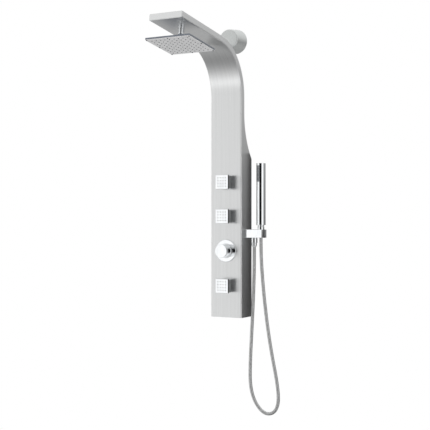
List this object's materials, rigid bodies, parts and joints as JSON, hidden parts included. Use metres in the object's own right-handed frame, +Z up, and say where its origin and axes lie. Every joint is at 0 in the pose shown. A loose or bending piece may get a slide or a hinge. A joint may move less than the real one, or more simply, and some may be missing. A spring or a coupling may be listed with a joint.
{
  "type": "rainfall shower column",
  "caption": "Wall-mounted brushed steel shower column with a curved overhead arm, square rain head, body jets, round diverter and handset on a hanging hose.",
  "frame": {"origin": "middle of the lower wall bracket's back face, on the wall and on the column's centre line", "axes": "+X right as the user faces the column, +Y into the wall, +Z up"},
  "size_m": [0.3305, 0.5811, 1.638],
  "materials": {
    "brushed_panel": "satin, brushed along the column",
    "chrome": "polished chrome plate",
    "polished_steel": "polished",
    "spray_steel": "fine satin",
    "hose_spiral": "spiral-wound, satin",
    "satin_steel": "fine satin",
    "galvanised": "dull zinc",
    "brass": "cast and turned",
    "dark_screw": "dark",
    "grey_silicone": "matt",
    "black_rubber": "matt",
    "acetal": "moulded",
    "dark_plastic": "moulded",
    "water_hose": "braided"
  },
  "bodies": {
    "column": {"arm_end_cap": "brushed_panel", "back_cover": "brushed_panel", "base_cover": "brushed_panel", "column_shell": "brushed_panel", "diverter_base_ring": "chrome", "handset_line": "water_hose", "head_hose": "water_hose", "head_inlet_elbow": "brass", "head_neck": "chrome", "holder_bracket": "chrome", "holder_bush": "dark_plastic", "holder_screws": "dark_screw", "hose_outlet": "chrome", "hose_outlet_nut": "chrome", "hose_outlet_washer": "black_rubber", "inlet_elbow": "brass", "inlet_nut": "chrome", "jet_lock_nuts": "brass", "jet_lower_housing": "chrome", "jet_manifold": "acetal", "jet_middle_housing": "chrome", "jet_upper_housing": "chrome", "shower_hose": "hose_spiral", "supply_cover": "satin_steel", "supply_hose": "water_hose", "supply_pipe": "chrome", "supply_union_nut": "brass", "valve_body": "brass", "valve_bonnet_nut": "brass", "wall_brackets": "galvanised"},
    "knob": {"diverter_knob": "chrome", "valve_spindle": "brass", "knob_grub_screw": "dark_screw"},
    "head_ring": {"head_friction_ring": "acetal"},
    "head_seat": {"head_seat_washer": "black_rubber"},
    "rain_head": {"head_swivel_nut": "chrome", "head_top_shell": "polished_steel", "head_gasket": "black_rubber", "head_nozzle_mat": "grey_silicone", "head_spray_plate": "spray_steel", "head_screws": "dark_screw"},
    "hose_end": {"hose_cone_nut": "chrome", "hose_cone_washer": "black_rubber"},
    "handset": {"handset_tube": "chrome", "handset_end_cap": "chrome", "handset_spray_plate": "dark_plastic", "handset_nozzle_mat": "grey_silicone", "handset_neck": "chrome"},
    "jet_lower_ring": {"jet_lower_liner": "acetal"},
    "jet_lower_head": {"jet_lower_body": "chrome", "jet_lower_plate": "chrome", "jet_lower_nozzle_mat": "grey_silicone"},
    "jet_middle_ring": {"jet_middle_liner": "acetal"},
    "jet_middle_head": {"jet_middle_body": "chrome", "jet_middle_plate": "chrome", "jet_middle_nozzle_mat": "grey_silicone"},
    "jet_upper_ring": {"jet_upper_liner": "acetal"},
    "jet_upper_head": {"jet_upper_body": "chrome", "jet_upper_plate": "chrome", "jet_upper_nozzle_mat": "grey_silicone"}
  },
  "joints": [
    {"name": "diverter_turn", "type": "hinge", "parent": "column", "child": "knob", "pos_m": [0, -0.091, 0.222], "axis": [0, -1, 0], "range_deg": [-90, 90]},
    {"name": "jet_lower_tilt", "type": "hinge", "parent": "column", "child": "jet_lower_ring", "pos_m": [0, -0.088, 0.075], "axis": [1, 0, 0], "range_deg": [-7, 7]},
    {"name": "jet_lower_pan", "type": "hinge", "parent": "jet_lower_ring", "child": "jet_lower_head", "pos_m": [0, -0.088, 0.075], "axis": [0, 0, 1], "range_deg": [-7, 7]},
    {"name": "jet_middle_tilt", "type": "hinge", "parent": "column", "child": "jet_middle_ring", "pos_m": [0, -0.088, 0.368], "axis": [1, 0, 0], "range_deg": [-7, 7]},
    {"name": "jet_middle_pan", "type": "hinge", "parent": "jet_middle_ring", "child": "jet_middle_head", "pos_m": [0, -0.088, 0.368], "axis": [0, 0, 1], "range_deg": [-7, 7]},
    {"name": "jet_upper_tilt", "type": "hinge", "parent": "column", "child": "jet_upper_ring", "pos_m": [0, -0.088, 0.512], "axis": [1, 0, 0], "range_deg": [-7, 7]},
    {"name": "jet_upper_pan", "type": "hinge", "parent": "jet_upper_ring", "child": "jet_upper_head", "pos_m": [0, -0.088, 0.512], "axis": [0, 0, 1], "range_deg": [-7, 7]},
    {"name": "head_tilt_fore", "type": "hinge", "parent": "column", "child": "head_ring", "pos_m": [0, -0.46617, 1.06225], "axis": [1, 0, 0], "range_deg": [-12, 12]},
    {"name": "head_tilt_side", "type": "hinge", "parent": "head_ring", "child": "head_seat", "pos_m": [0, -0.46617, 1.06225], "axis": [0, -0.9898, 0.1426], "range_deg": [-12, 12]},
    {"name": "head_spin", "type": "hinge", "parent": "head_seat", "child": "rain_head", "pos_m": [0, -0.46617, 1.06225], "axis": [0, -0.1426, -0.9898], "continuous": true},
    {"name": "handset_lift", "type": "slide", "parent": "column", "child": "hose_end", "axis": [0, 0, 1], "range_m": [0, 0.08]},
    {"name": "handset_turn", "type": "hinge", "parent": "hose_end", "child": "handset", "pos_m": [0.141, -0.0452, 0.325], "axis": [0, 0, 1], "continuous": true}
  ]
}
